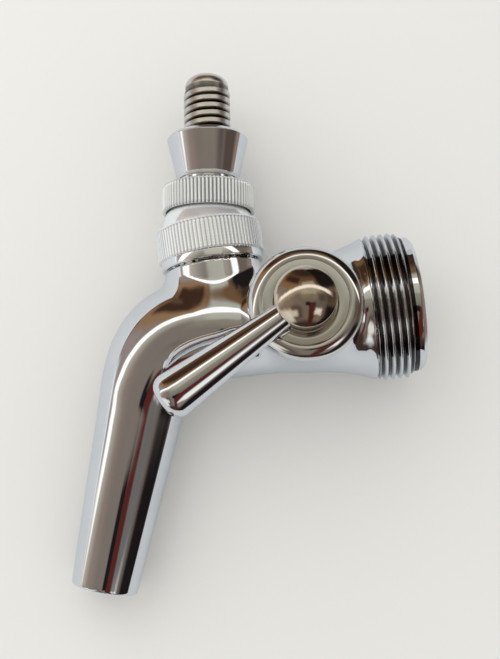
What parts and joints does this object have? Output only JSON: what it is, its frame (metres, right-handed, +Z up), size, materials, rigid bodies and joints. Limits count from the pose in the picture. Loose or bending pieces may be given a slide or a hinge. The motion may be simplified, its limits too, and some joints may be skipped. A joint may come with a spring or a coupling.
{
  "type": "draught tap with flow control",
  "caption": "Forward-sealing draught tap: threaded barrel, leaning spout, tilting tap lever with knurled rings, and a side lever that throttles the flow.",
  "frame": {"origin": "centre of the rear face, on the barrel and coupling thread axis", "axes": "+X out of the rear face towards the wall shank, +Z up the neck, the flow-control lever is on the -Y side and the spout leans towards -X"},
  "size_m": [0.0728, 0.0418, 0.1017],
  "materials": {
    "body_chrome": "polished chrome plate",
    "disc_chrome": "polished chrome plate with a lapped face",
    "knurled_chrome": "bright chrome plate over straight knurling",
    "lever_steel": "satin turned stainless steel",
    "hub_steel": "fine satin turned stainless steel",
    "shaft_steel": "machined stainless steel",
    "seal_rubber": "matt black rubber",
    "bearing_plastic": "off-white bearing plastic",
    "washer_plastic": "black plastic"
  },
  "bodies": {
    "tap_body": {"faucet_body": "body_chrome", "coupling_gasket": "seal_rubber", "valve_seat": "shaft_steel", "ball_cup": "bearing_plastic", "lever_o_ring": "seal_rubber", "friction_ring": "bearing_plastic", "compression_bonnet": "knurled_chrome", "flow_bonnet": "disc_chrome", "bonnet_gasket": "seal_rubber"},
    "lever": {"tap_lever": "lever_steel", "dust_cap": "knurled_chrome", "cap_washer": "washer_plastic", "lever_collar": "body_chrome"},
    "valve": {"valve_shaft": "shaft_steel", "shaft_nose": "shaft_steel", "nose_o_ring": "seal_rubber"},
    "flow_control": {"flow_stem": "shaft_steel", "stem_o_rings": "seal_rubber", "stem_clip": "shaft_steel", "throttle_plug": "bearing_plastic", "flow_hub": "hub_steel", "flow_handle": "body_chrome"}
  },
  "joints": [
    {"name": "tap_lever", "type": "hinge", "parent": "tap_body", "child": "lever", "pos_m": [-0.0392, 0, 0.0182], "axis": [0, -1, 0], "range_deg": [0, 24]},
    {"name": "valve_slide", "type": "slide", "parent": "tap_body", "child": "valve", "axis": [1, 0, 0], "range_m": [0, 0.0075]},
    {"name": "flow_lever", "type": "hinge", "parent": "tap_body", "child": "flow_control", "pos_m": [-0.0217, 0, 0], "axis": [0, -1, 0], "range_deg": [-30, 60]}
  ],
  "couplings": [
    {"joint": "valve_slide", "follows": "tap_lever", "m_per_rad": 0.017655}
  ]
}
